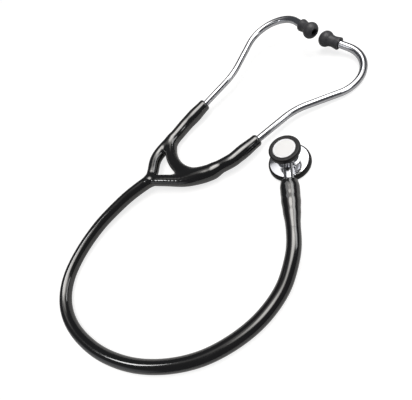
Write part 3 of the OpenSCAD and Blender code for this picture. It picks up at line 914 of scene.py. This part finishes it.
@dataclass
class Moulding:
    """The headset's soft moulding: junction, limbs and the leaf spring's sleeve, in one skin."""

    hose: Hose
    left: Limb
    right: Limb
    left_join: Point = (-60, 114.8, 8.2)
    right_join: Point = (-52.6, 44.6, 8)
    sleeve_r: float = 6.15
    sleeve_sag: float = 18.1
    sleeve_pinch: float = 0.8
    pinch_share: float = 1 / 7  # share of the sleeve over which each end thins
    web: Pair = (4.0, 7.5)  # fillets of the sleeve, at the left limb and at the right one
    crotch: float = 3.0  # fillet between the limbs
    stub: float = 14.0
    stub_overlap: float = 4.0
    stub_proud: float = 0.03
    nose: float = 2.5  # how far the stub reaches into the junction
    nose_r: float = 5.2
    step: float = 0.5
    margin: float = 9.0
    cells: Pair = (0.8, 1.6)
    end_reach: float = 12.0
    limb_reach: float = 34.0

    def sleeve(self) -> Tube:
        """The sleeve as a solid: an arc behind the line between the joins, thinner at its ends.

        Returns:
            The tube.
        """
        a, b = np.array(self.left_join), np.array(self.right_join)
        chord = unit((b - a)[:2])
        half = np.linalg.norm((b - a)[:2]) / 2
        radius = (half**2 + self.sleeve_sag**2) / (2 * self.sleeve_sag)
        middle = (a + b)[:2] / 2 + (radius - self.sleeve_sag) * np.array([-chord[1], chord[0]])
        start = math.atan2(*(a[:2] - middle)[::-1])
        stop = math.atan2(*(b[:2] - middle)[::-1]) % (2 * math.pi)
        t = np.linspace(0, 1, int(radius * (stop - start) / self.step))
        turn = between(start, stop, t)
        flat = middle + radius * np.stack([np.cos(turn), np.sin(turn)], 1)
        points = np.column_stack([flat, np.full(len(t), (a + b)[2] / 2)])
        thin = 1 - ease(np.minimum(t, 1 - t) / self.pinch_share)
        return Tube(points, self.sleeve_r - self.sleeve_pinch * thin)

    def hose_stub(self, neck: Route) -> Tube:
        """The start of the hose as a solid, with a nose that reaches into the junction.

        Args:
            neck: the hose's centre line.

        Returns:
            The tube, a hair thicker than the hose.
        """
        keep = neck.run < self.stub + self.stub_overlap
        tip = neck.points[0] + self.nose * unit(self.hose.yoke_way)
        line = Route(np.concatenate([[tip], neck.points[keep]]))
        hose_r = self.hose.radius(neck.run[keep]) + self.stub_proud
        s = np.arange(0, line.length, self.step)
        return Tube(line.at(s)[0], np.interp(s, line.run, np.concatenate([[self.nose_r], hose_r])))

    def build(self) -> list[Piece]:
        """Makes the skin of the soft union of the tubes and cuts it where the limbs begin to bend.

        Returns:
            The core, which rides on the tubing, and the two limbs, which are left unattached.
        """
        root, neck = np.array(self.hose.yoke_back), self.hose.route()
        left, right = self.left.tube(root), self.right.tube(root)
        stub, sleeve = self.hose_stub(neck), self.sleeve()
        top, low = self.left_join[1], self.right_join[1]

        def moulding(at: np.ndarray) -> np.ndarray:
            """Signed distance to the soft union of the limbs, the hose's stub and the sleeve."""
            fork = soft_union(left.distance(at), right.distance(at), self.crotch)
            fork = soft_union(fork, stub.distance(at), self.crotch)
            web = between(*self.web, ease((top - at[:, 1]) / (top - low)))
            return soft_union(fork, sleeve.distance(at), web)

        every = np.concatenate([t.points for t in (left, right, sleeve, stub)])
        box = every.min(0) - self.margin, every.max(0) + self.margin
        whole = new_object("moulding", *skin(moulding, *box, self.cells[bool(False)]))
        stub_end = neck.at(np.array([self.stub]))[0][0]
        stub_way = neck.along[np.searchsorted(neck.run, self.stub)]
        limbs = (self.left, self.right)
        for place, way in ((stub_end, stub_way), *((limb.back, limb.out) for limb in limbs)):
            self.cut(whole, place, -way, place, self.end_reach)
        pieces = []
        for limb in limbs:
            start, stop = np.array(limb.bend_from), np.array(limb.bend_to)
            way = unit(stop - start)
            piece = whole.copy()
            piece.data = whole.data.copy()
            piece.name = piece.data.name = f"{limb.side.value}_limb"
            bpy.context.scene.collection.objects.link(piece)
            self.cut(piece, start, way, limb.back, self.limb_reach, alone=True)
            self.cut(whole, start, -way, limb.back, self.limb_reach)
            pieces.append(piece)
        whole.name = whole.data.name = "yoke_core"
        for piece in (whole, *pieces):
            self.smooth(piece, moulding)
        place_piece(whole, VINYL, "black_vinyl", Body.TUBING, "yoke")
        for limb, piece in zip(limbs, pieces):
            place_piece(piece, VINYL, "black_vinyl", None)
            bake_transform(piece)
        return [whole, *pieces]

    @staticmethod
    def cut(piece: Piece, place: np.ndarray, way: np.ndarray, near: np.ndarray, reach: float,
            alone: bool = False) -> None:
        """Cuts a stretch of a piece by a plane and drops what lies behind the plane there.

        Args:
            piece: the piece.
            place: a point of the plane.
            way: direction that is kept.
            near: middle of the stretch.
            reach: how far the stretch goes from its middle.
            alone: drops all that lies outside the stretch too.
        """
        middle, spot = Vector(np.asarray(near) * MM), Vector(np.asarray(place) * MM)
        work = bmesh.new()
        work.from_mesh(piece.data)
        chosen = {v for v in work.verts if (v.co - middle).length < reach * MM}
        if alone:
            far = [v for v in work.verts if v not in chosen]
            bmesh.ops.delete(work, geom=far, context="VERTS")
        verts = [v for v in work.verts if v in chosen]
        edges = [e for e in work.edges if chosen.issuperset(e.verts)]
        faces = [f for f in work.faces if chosen.issuperset(f.verts)]
        bmesh.ops.bisect_plane(work, geom=[*verts, *edges, *faces], plane_co=spot,
                               plane_no=Vector(way), clear_inner=True, dist=MERGE)
        work.to_mesh(piece.data)
        work.free()

    @staticmethod
    def smooth(piece: Piece, field_at: Field) -> None:
        """Sets each point's normal to the field's slope there, so cut edges shade as one skin.

        Args:
            piece: the piece.
            field_at: the field whose zero surface it is.
        """
        mesh = piece.data
        co = np.empty(len(mesh.vertices) * 3, np.float32)
        mesh.vertices.foreach_get("co", co)
        mesh.shade_smooth()
        normal = slope_of(field_at, co.reshape(-1, 3).astype(float) / MM)
        mesh.normals_split_custom_set_from_vertices(normal.tolist())


@dataclass
class Socket:
    """The swollen end of a limb, with the mouth that the ear tube turns in."""

    limb: Limb
    full_r: float = 6.9
    mouth_r: float = 6.0
    swell: float = 8.0
    lip_r: float = 2.6
    dome: float = 0.7
    bore_r: float = 3.2
    bore_depth: float = 5.0
    chamfer: float = 0.3
    rows: int = 32

    def build(self) -> Piece:
        """Carries the socket's profile along its axis: two eased stretches, a lip, the mouth.

        Returns:
            The socket.
        """
        limb = self.limb
        n = limb.socket_len + self.dome
        t = np.linspace(0, 1, self.rows)
        back = np.stack([self.swell * t, between(limb.limb_r, self.full_r, ease(t))], 1)
        front = np.stack([between(self.swell, n - self.lip_r, t),
                          between(self.full_r, self.mouth_r, ease(t))], 1)
        lip = arc((n - self.lip_r, self.mouth_r - self.lip_r), self.lip_r, 90, 0, steps=12)
        outside = np.concatenate([back, front[1:], lip[1:-1]]) * (1, limb.girth)
        mouth = [(n, self.bore_r + self.chamfer), (n - self.chamfer, self.bore_r),
                 (n - self.bore_depth, self.bore_r), (n - self.bore_depth, 0)]
        profile = np.concatenate([[(0, 0)], outside, mouth])
        side = limb.side.value
        piece = round_piece(f"{side}_socket_grip", straight(limb.back, limb.out, n), profile)
        return place_piece(piece, VINYL, "black_vinyl", limb.arm, f"{side}_socket")


# ---------------------------------------------------------------- ear tubes and tips


@dataclass
class EarTube:
    """A bent chromed ear tube and the soft tip on its end."""

    limb: Limb
    tube_r: float = 3.15
    bore_r: float = 2.3
    bore_depths: Pair = (8.0, 9.0)  # at the socket and at the tip
    chamfer: Pair = (0.4, 0.3)  # along the tube and across it
    grip: float = 20.0
    run: float = 29.4
    kink: float = 23.9
    kink_r: float = 52.0
    rise: float = 28.4
    ear_bend: float = 122.8
    ear_r: float = 28.1
    ear_run: float = 9.9
    in_tip: float = 8.2
    step: float = 0.25
    sides: int = 64
    tip_len: float = 21.5
    ball_r: float = 6.8
    ball_end: float = 128.0  # degrees round the ball, where the neck begins
    waist_r: float = 4.6
    waist_share: float = 0.44
    skirt_r: float = 5.2
    skirt_edge: float = 0.6
    hole_r: float = 2.7
    hole_end: float = 8.4
    hole_lip: float = 0.45
    hole_turn: float = 7.0  # degrees round the ball from the hole to where the ball begins
    hollow: float = 4.0
    hollow_gap: float = 0.05
    hollow_bevel: Pair = (0.5, 0.7)  # along the tip and across it
    rows: int = 24

    def route(self) -> Route:
        """Centre line: straight, a slight bend outwards, straight, a round bend inwards, straight.

        The heading is worked out at even steps, and the line is the running sum of the steps.

        Returns:
            The route, from inside the socket to inside the tip.
        """
        kink, ear_bend = math.radians(self.kink), math.radians(self.ear_bend)
        lengths = [self.grip + self.run, kink * self.kink_r, self.rise, ear_bend * self.ear_r,
                   self.ear_run + self.in_tip]
        turns = [0, kink, 0, -ear_bend, 0]
        s, heading = (np.concatenate([[0], np.cumsum(v)]) for v in (lengths, turns))
        heading = np.interp(np.arange(0, s[-1] + self.step / 2, self.step), s, heading)
        middle = (heading[1:] + heading[:-1]) / 2
        moves = self.step * np.stack([np.cos(middle), np.sin(middle)], 1)
        flat = np.concatenate([[[0, 0]], np.cumsum(moves, 0)])
        flip = -1 if self.limb.side is Side.RIGHT else 1
        local = np.stack([flat[:, 0] - self.grip, flip * flat[:, 1], np.zeros(len(flat))], 1)
        return Route(local @ turned(self.limb.turn).T + np.array(self.limb.mouth))

    def build_tube(self) -> Piece:
        """Carries a circle along the centre line, then back inside it as the bore at both ends.

        Returns:
            The chromed tube.
        """
        route = self.route()
        end, bore, (near, far) = route.length, self.bore_r, self.bore_depths
        edge, rim = self.chamfer[0], self.tube_r - self.chamfer[1]
        s = np.concatenate([[edge], route.run[2:-2], [end - edge]])
        profile = np.concatenate([
            [(near, 0), (near, bore), (0, bore), (0, rim)],
            np.column_stack([s, np.full(len(s), self.tube_r)]),
            [(end, rim), (end, bore), (end - far, bore), (end - far, 0)],
        ])
        side = self.limb.side.value
        piece = round_piece(f"{side}_chrome_tube", route, profile, self.sides)
        return place_piece(piece, CHROME, "chrome", self.limb.ear, f"{side}_ear_tube")

    def build_tip(self) -> Piece:
        """Carries the tip's profile along its axis: hole, ball, waist, skirt and its hollow end.

        Returns:
            The tip.
        """
        route = self.route()
        start = route.points[-1] - self.in_tip * route.along[-1]
        axis = straight(start, route.along[-1], self.tip_len)
        ball_z = self.tip_len - self.ball_r
        hole = 90 - math.degrees(math.acos(self.hole_r / self.ball_r)) + self.hole_turn
        ball = arc((ball_z, 0), self.ball_r, hole, self.ball_end, steps=40)
        throat = [(self.hole_end, 0), (self.hole_end, self.hole_r)]
        lip_at = (ball[0, 0] - self.hole_lip, self.hole_r + self.hole_lip)
        lip = arc(lip_at, self.hole_lip, 260, 330)
        waist_z = self.waist_share * ball_z
        t = np.linspace(0, 1, self.rows)
        neck = np.stack([between(ball[-1, 0], waist_z, t),
                         between(self.waist_r, ball[-1, 1], (1 - t) ** 2)], 1)
        skirt = np.stack([between(waist_z, self.skirt_edge, t),
                          between(self.waist_r, self.skirt_r, ease(t))], 1)
        edge_at = (self.skirt_edge, self.skirt_r - self.skirt_edge)
        edge = arc(edge_at, self.skirt_edge, 90, 180, steps=8)
        inside = self.tube_r + self.hollow_gap
        end = [(0, inside + self.hollow_bevel[1]), (self.hollow_bevel[0], inside),
               (self.hollow, inside), (self.hollow, 0)]
        profile = np.concatenate([throat, lip, ball, neck[1:], skirt[1:], edge[1:], end])
        side = self.limb.side.value
        piece = round_piece(f"{side}_soft_tip", axis, profile)
        return place_piece(piece, TIP_RUBBER, "soft_grey", self.limb.ear, f"{side}_ear_tip")


# ---------------------------------------------------------------- chest piece


@dataclass
class ChestPiece:
    """The hourglass head with its two rims and diaphragms, and the stem it turns on."""

    hose: Hose
    large_r: float = 17.5
    small_r: float = 12.35
    head_h: float = 24.0
    rim_h: float = 5.0
    large_rim_h: float = 6.0
    large_crown: Pair = (3.8, 1.6)  # height and width of the large rim's back edge
    rim_wall: float = 1.2
    rim_lip: float = 0.9
    lip_w: float = 3.6
    lip_low: float = 0.2
    snap: float = 0.62
    edge: float = 1.3
    nose: float = 0.35
    face_gap: float = 0.15
    flange_gap: float = 0.2
    push_gap: float = 0.02
    skin_t: float = 0.6
    film_t: float = 0.58
    film_up: float = 0.7
    film_crown: float = 0.12
    waist_r: float = 5.5
    cone_slope: float = 9.0
    cone_drop: float = 0.08
    hub_r: float = 5.3
    hub_half: float = 7.8
    hub_edge: float = 0.5
    hub_gap: float = 0.05
    clip_gap: float = 0.85
    clip_depth: float = 2.0
    bore_depth: float = 1.0
    journal_r: float = 3.0
    journal_back: float = 6.5
    journal_edge: float = 0.3
    collar_gap: float = 0.3
    barrel_r: float = 3.95
    barrel_edge: float = 0.35
    cuff_gap: float = 0.2
    nipple_r: float = 3.4
    stem_len: float = 38.0
    sides: int = 160
    crown_rows: int = 12
    flare_rows: int = 33
    crisp: float = 30.0  # degrees above which an edge of the metal stays crisp

    def upright(self) -> Route:
        """The head's own axis, from the table upwards."""
        return straight(np.zeros(3), np.array([0, 0, 1.0]), self.head_h)

    def build_rim(self, name: str, node: str, r: float, face: float, height: float,
                  crown: Pair) -> Piece:
        """Carries a rim's closed section round the head's axis.

        Args:
            name: name of the piece.
            node: solid that it replaces.
            r: outer radius.
            face: height of the rim's face.
            height: how far the rim stands above its face; less than 0 where it hangs below.
            crown: height and width of its back edge, which is a quarter of an ellipse.

        Returns:
            The rim.
        """
        inner, flange = r - self.lip_w + self.face_gap, r - self.rim_wall
        low = arc((self.edge, r - self.edge), self.edge, 180, 90, steps=12)
        h, way = abs(height), math.copysign(1, height)
        high = (h - crown[0], r - crown[1]) + arc((0, 0), 1, 90, 0, steps=16) * crown
        nose = arc((self.nose, inner + self.nose), self.nose, 270, 180)
        lip = self.rim_lip
        back = [(h, flange - self.snap), (h - lip, flange - self.snap), (h - lip, flange),
                (lip, flange), (lip, inner)]
        section = np.concatenate([nose, low, high, back, nose[:1]])
        section[:, 0] = face + way * section[:, 0]
        piece = round_piece(name, self.upright(), section, self.sides)
        return place_piece(piece, RIM_RUBBER, "rim_rubber", Body.HEAD, node)

    def build_rims(self) -> None:
        """The two rims."""
        self.build_rim("large_rim_ring", "large_rim", self.large_r, self.lip_low,
                       self.large_rim_h, self.large_crown)
        self.build_rim("small_rim_ring", "small_rim", self.small_r, self.head_h,
                       -self.rim_h, (self.edge, self.edge))

    def film_back(self, seat: float, face_r: float, rim_r: float, thick: float) -> list[Pair]:
        """Back of a disc's section: out to its flange, through its thickness, in to the axis.

        Args:
            seat: height of the flange's front.
            face_r: radius of the face.
            rim_r: outer radius of the rim that holds it.
            thick: how far the back lies below the front; less than 0 where it lies above.

        Returns:
            Rows of (height, radius).
        """
        out = rim_r - self.rim_wall - self.flange_gap
        return [(seat, face_r), (seat, out), (seat - thick, out), (seat - thick, 0)]

    def build_diaphragms(self) -> None:
        """Carries each disc's section round the axis: a face, a rounded step and its flange."""
        up, nose = self.upright(), self.nose
        r = self.small_r - self.lip_w
        seat = self.head_h - self.rim_lip
        face = seat + self.film_up
        t = np.linspace(0, 1, self.crown_rows)
        crown = np.stack([face - self.film_crown * t**2, (r - nose) * t], 1)
        step = arc((face - self.film_crown - nose, r - nose), nose, 0, 90)
        back = self.film_back(seat, r, self.small_r, self.film_t)
        section = np.concatenate([crown, step[1:], back])
        piece = round_piece("small_white_disc", up, section, self.sides)
        place_piece(piece, WHITE_FILM, "white_film", Body.HEAD, "small_diaphragm")
        r = self.large_r - self.lip_w
        step = arc((nose, r - nose), nose, 180, 90)
        back = self.film_back(self.lip_low + self.rim_lip, r, self.large_r, -self.film_t)
        section = np.concatenate([[(0, 0)], step, back])
        piece = round_piece("large_film_disc", up, section, self.sides)
        place_piece(piece, GLASS_FILM, "clear_film", Body.HEAD, "large_diaphragm")

    def build_head(self) -> None:
        """Carries the hourglass outline round the axis: a cone and a round waist, then a flare.

        The waist's circle touches the cone and the waist's radius. The flare is a quarter of an
        ellipse.
        """
        z, waist, slope = self.hose.stem_z, self.waist_r, math.radians(self.cone_slope)
        flange = self.large_r - self.rim_wall - self.push_gap
        cone = self.large_r - self.rim_wall - self.snap
        rim_top = self.lip_low + self.large_rim_h
        low = self.lip_low + self.rim_lip + self.skin_t
        high, plate = rim_top - self.rim_lip - self.push_gap, rim_top - self.cone_drop
        rise = z - plate - math.tan(slope) * (cone - waist)
        bend = rise / (1 / math.cos(slope) - math.tan(slope))
        lower = arc((z, waist + bend), bend, 180 + self.cone_slope, 270, steps=24)
        small_flange = self.small_r - self.rim_wall - self.push_gap
        small_cone = self.small_r - self.rim_wall - self.snap
        top = self.head_h - self.rim_h + self.rim_lip
        a = np.radians(np.linspace(0, 90, self.flare_rows))
        upper = np.stack([between(z, top, np.sin(a)), between(waist, small_cone, 1 - np.cos(a))], 1)
        lid = self.head_h - self.rim_lip - self.skin_t
        outline = np.concatenate([
            [(low, 0), (low, flange), (high, flange), (high, cone), (plate, cone)],
            lower,
            upper[1:],
            [(top + self.push_gap, small_flange), (lid, small_flange), (lid, 0)],
        ])
        shell = round_piece("head_shell", self.upright(), outline, self.sides, self.crisp)
        place_piece(shell, CHROME, "chrome", Body.HEAD, "head_body")

    def build_hub(self) -> Piece:
        """Carries the hub's outline along the stem: clip pocket, rounded edges and journal bore.

        Returns:
            The hub.
        """
        n, edge = 2 * self.hub_half, self.hub_edge
        axis = straight(self.hose.on_stem(-self.hub_half), self.hose.stem_way, n)
        rear = arc((edge, self.hub_r - edge), edge, 180, 90)
        front = arc((n - edge, self.hub_r - edge), edge, 90, 0)
        clip, bore = self.journal_r + self.clip_gap, self.journal_r + self.hub_gap
        pocket = [(self.clip_depth, 0), (self.clip_depth, clip), (0, clip)]
        mouth = [(n, bore), (n - self.bore_depth, bore), (n - self.bore_depth, 0)]
        outline = np.concatenate([pocket, rear, front, mouth])
        piece = round_piece("head_hub", axis, outline, sharp=self.crisp)
        return place_piece(piece, CHROME, "chrome", Body.HEAD)

    def build_stem(self) -> Piece:
        """Carries the stem's outline along its axis: journal, collar, barrel and nipple.

        Returns:
            The stem, as far as the cuff hides it.
        """
        axis = straight(self.hose.on_stem(-self.journal_back), self.hose.stem_way, self.stem_len)
        collar = self.journal_back + self.hub_half + self.collar_gap
        front = self.journal_back + self.hose.cuff_start - self.cuff_gap
        edge, bevel, journal = self.barrel_edge, self.journal_edge, self.journal_r
        outline = np.concatenate([
            [(0, 0), (0, journal - bevel), (bevel, journal), (collar, journal)],
            arc((collar + edge, self.barrel_r - edge), edge, 180, 90),
            arc((front - edge, self.barrel_r - edge), edge, 90, 0),
            [(front, self.nipple_r), (self.stem_len, self.nipple_r), (self.stem_len, 0)],
        ])
        piece = round_piece("stem_barrel", axis, outline, sharp=self.crisp)
        return place_piece(piece, CHROME, "chrome", Body.TUBING, "stem")


# ---------------------------------------------------------------- studio


@dataclass(frozen=True)
class Glow:
    """A soft-edged patch of light in the room: full inside one angle, none past another."""

    azimuth: float
    elevation: float
    inner: float
    outer: float
    strength: float
    colour: str = "#fffcf8"

    def way(self) -> Point:
        """Direction of the middle of the patch."""
        a, e = math.radians(self.azimuth), math.radians(self.elevation)
        return (math.cos(e) * math.cos(a), math.cos(e) * math.sin(a), math.sin(e))


@dataclass(frozen=True)
class Panel:
    """A flat lamp that faces a target and hides from the camera; lengths are in metres.

    Its radiance is how bright its face looks, where 1 is white.
    """

    name: str
    place: Point
    size: Pair
    target: Point
    radiance: float

    def build(self) -> None:
        """Adds the lamp, level along its first side."""
        data = bpy.data.lights.new(self.name, "AREA")
        data.shape, data.size, data.size_y = "RECTANGLE", *self.size
        data.energy = self.radiance * math.pi * self.size[0] * self.size[1]
        lamp = bpy.data.objects.new(self.name, data)
        lamp.location = self.place
        lamp.rotation_mode = "QUATERNION"
        way = Vector(self.target) - Vector(self.place)
        lamp.rotation_quaternion = way.to_track_quat("-Z", "Y")
        lamp.visible_camera = False
        bpy.context.scene.collection.objects.link(lamp)


GLOWS = (
    Glow(10, 84, 4, 27, 4.1),  # softbox overhead
    Glow(38, 63, 3, 22, 1.3),  # its far side
    Glow(-14, 55, 3, 23, 1.5),  # its near side
    Glow(100, 68, 6, 22, 0.45),  # white wall behind
    Glow(180, 10, 6, 28, 0.3, "#f9faff"),  # bounce from the left
)
PANELS = (
    Panel("white_card", (-0.006, 0.075, 0.125), (0.08, 0.07), (0, 0, 0.006), 0.9),
    Panel("side_softbox", (0.15, -0.02, 0.18), (0.4, 0.1), (-0.1, 0.02, 0), 1.8),
    Panel("strip_lamp", (-0.291, 0.123, 0.236), (0.066, 0.04), (-0.193, -0.047, 0.01), 6.5),
)


@dataclass
class Studio:
    """Camera, white table and soft light."""

    eye: Point = (-59.56, -133.89, 212.65)
    right: Point = (0.7479, -0.4995, -0.4372)
    up: Point = (0.6616, 0.6140, 0.4304)
    ahead: Point = (-0.0535, 0.6111, -0.7897)
    lens: float = 25.715
    sensor: float = 36.0
    clip: Pair = (0.01, 50.0)
    table_half: float = 4000.0
    table_z: float = -0.3
    room: float = 0.08
    room_colour: str = "#eef1f8"

    def build_camera(self) -> None:
        """Sets the camera where the photograph was taken from."""
        data = bpy.data.cameras.new("camera")
        data.sensor_width, data.lens = self.sensor, self.lens
        data.clip_start, data.clip_end = self.clip
        camera = bpy.data.objects.new("camera", data)
        bpy.context.scene.collection.objects.link(camera)
        pose = np.eye(4)
        pose[:3, :3] = np.stack([unit(self.right), unit(self.up), -unit(self.ahead)], 1)
        pose[:3, 3] = np.array(self.eye) * MM
        camera.matrix_world = Matrix(pose.tolist())
        bpy.context.scene.camera = camera

    def build_floor(self) -> None:
        """A wide white table, a little below the part."""
        corners = np.array([(-1, -1), (1, -1), (1, 1), (-1, 1)]) * self.table_half
        points = np.column_stack([corners, np.full(4, self.table_z)])
        floor = new_object("table", points, np.array([[0, 1, 2, 3]]))
        TABLE.dress(floor)

    def build_light(self) -> None:
        """A dim room with soft-edged glows, white where the camera sees it, and three flat lamps.

        Each glow's level is a smooth step of the cosine of the angle from its middle.
        """
        world = bpy.data.worlds.new("studio")
        world.use_nodes = True
        tree = world.node_tree
        tree.nodes.clear()
        way = add(tree, "ShaderNodeTexCoord").outputs["Generated"]
        lights = []
        for glow in GLOWS:
            sides = {0: way, 1: glow.way()}
            facing = add(tree, "ShaderNodeVectorMath", sides, operation="DOT_PRODUCT")
            near, far = (math.cos(math.radians(a)) for a in (glow.inner, glow.outer))
            steps = {"From Min": far, "From Max": near, "To Max": glow.strength}
            steps["Value"] = facing.outputs["Value"]
            level = add(tree, "ShaderNodeMapRange", steps, interpolation_type="SMOOTHSTEP")
            lights.append((glow.colour, level.outputs["Result"]))
        lights.append((self.room_colour, self.room))
        total = None
        for colour, strength in lights:
            values = {"Color": linear(colour), "Strength": strength}
            light = add(tree, "ShaderNodeBackground", values).outputs[0]
            if total is not None:
                light = add(tree, "ShaderNodeAddShader", {0: total, 1: light}).outputs[0]
            total = light
        white = add(tree, "ShaderNodeBackground", {"Color": linear("#ffffff"), "Strength": 1.0})
        seen = add(tree, "ShaderNodeLightPath").outputs["Is Camera Ray"]
        mix = add(tree, "ShaderNodeMixShader", {0: seen, 1: total, 2: white.outputs[0]})
        add(tree, "ShaderNodeOutputWorld", {"Surface": mix.outputs[0]})
        bpy.context.scene.world = world
        for panel in PANELS:
            panel.build()


# ---------------------------------------------------------------- the whole scene

LEFT_LIMB = Limb(
    Side.LEFT,
    via=(
        (-97.1, 96, 10.3), (-88.4, 106.5, 9.8), (-82.3, 110.5, 9.2), (-72, 113.3, 8.6),
        (-60, 114.8, 8.2), (-48, 116.8, 8.2),
    ),
    mouth=(-9.4, 118.7, 11),
    turn=(-2, -5.8, -0.4),
    bend_from=(-57, 115.2, 8.2),
    bend_to=(-33, 118.86, 8.6),
    girth=1.03,
)
RIGHT_LIMB = Limb(
    Side.RIGHT,
    via=(
        (-98.5, 81.7, 10.2), (-89.8, 72, 9.6), (-84.9, 66.4, 9.1), (-73.3, 55, 8.4),
        (-64.1, 49.7, 8.1), (-54.2, 45.2, 8), (-42.5, 41.3, 8.7),
    ),
    mouth=(-3.3, 36.3, 8.8),
    turn=(8.4, 1.8, -1.6),
    bend_from=(-50.5, 43.9, 8.2),
    bend_to=(-26.5, 36.95, 9.53),
    girth=0.95,
)
HIDDEN = (
    (CHROME, ("left_nut", "right_nut")),
    (SEAL_RUBBER, ("stem_seal",)),
    (STEEL, ("stem_clip", "detent_ball", "detent_spring", "leaf_spring")),
)


def dress_hidden(nodes: dict[str, Piece]) -> None:
    """Gives the small hidden solids, which keep their own shape, their real finishes.

    Args:
        nodes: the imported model's solids by name.
    """
    for finish, names in HIDDEN:
        finish.dress(*(nodes[n] for n in names))
        LOG.info("%s: %s", ", ".join(names), finish.name)


def main() -> None:
    """Builds the scene: camera and hose first, then the pieces in order, then the light."""
    logging.basicConfig(level=logging.INFO, format="%(name)s: %(message)s")
    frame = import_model()
    bpy.context.scene.view_settings.view_transform = "Standard"
    studio = Studio()
    studio.build_camera()
    hose = Hose()
    hose.build()
    Cuff(hose).build()
    Moulding(hose, LEFT_LIMB, RIGHT_LIMB).build()
    for limb in (LEFT_LIMB, RIGHT_LIMB):
        Socket(limb).build()
        ear_tube = EarTube(limb)
        ear_tube.build_tube()
        ear_tube.build_tip()
    chest = ChestPiece(hose)
    chest.build_head()
    chest.build_hub()
    chest.build_rims()
    chest.build_diaphragms()
    chest.build_stem()
    dress_hidden(frame["nodes"])
    studio.build_floor()
    studio.build_light()


if __name__ == "__main__":
    main()
